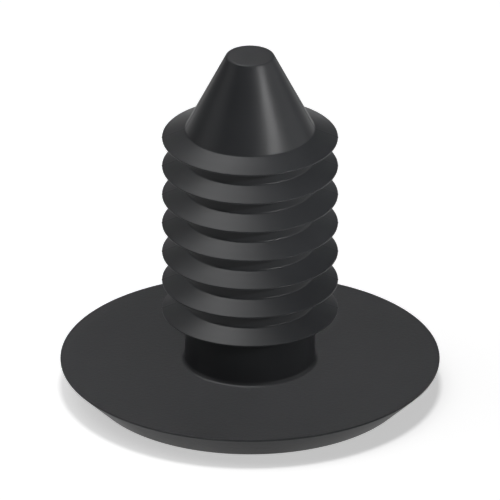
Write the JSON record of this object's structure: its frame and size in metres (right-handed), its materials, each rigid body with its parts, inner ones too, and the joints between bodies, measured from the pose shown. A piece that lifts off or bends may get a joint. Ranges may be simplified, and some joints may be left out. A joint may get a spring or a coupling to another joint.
{
  "type": "plastic push rivet",
  "caption": "One-piece plastic push rivet: a broad flat head with a bevelled rim, a short plain shank, a row of thin drooping barbs and a tapered nose.",
  "frame": {"origin": "centre of the head's show face, the flat underside that the rivet stands on", "axes": "+Z along the rivet's axis, from the head to the nose; X and Y are any two directions across it, because the rivet is round"},
  "size_m": [0.019, 0.019, 0.0184],
  "materials": {
    "black_nylon": "moulded nylon with a dull sheen, charcoal black"
  },
  "bodies": {
    "root": {"push_rivet": "black_nylon"}
  },
  "joints": []
}
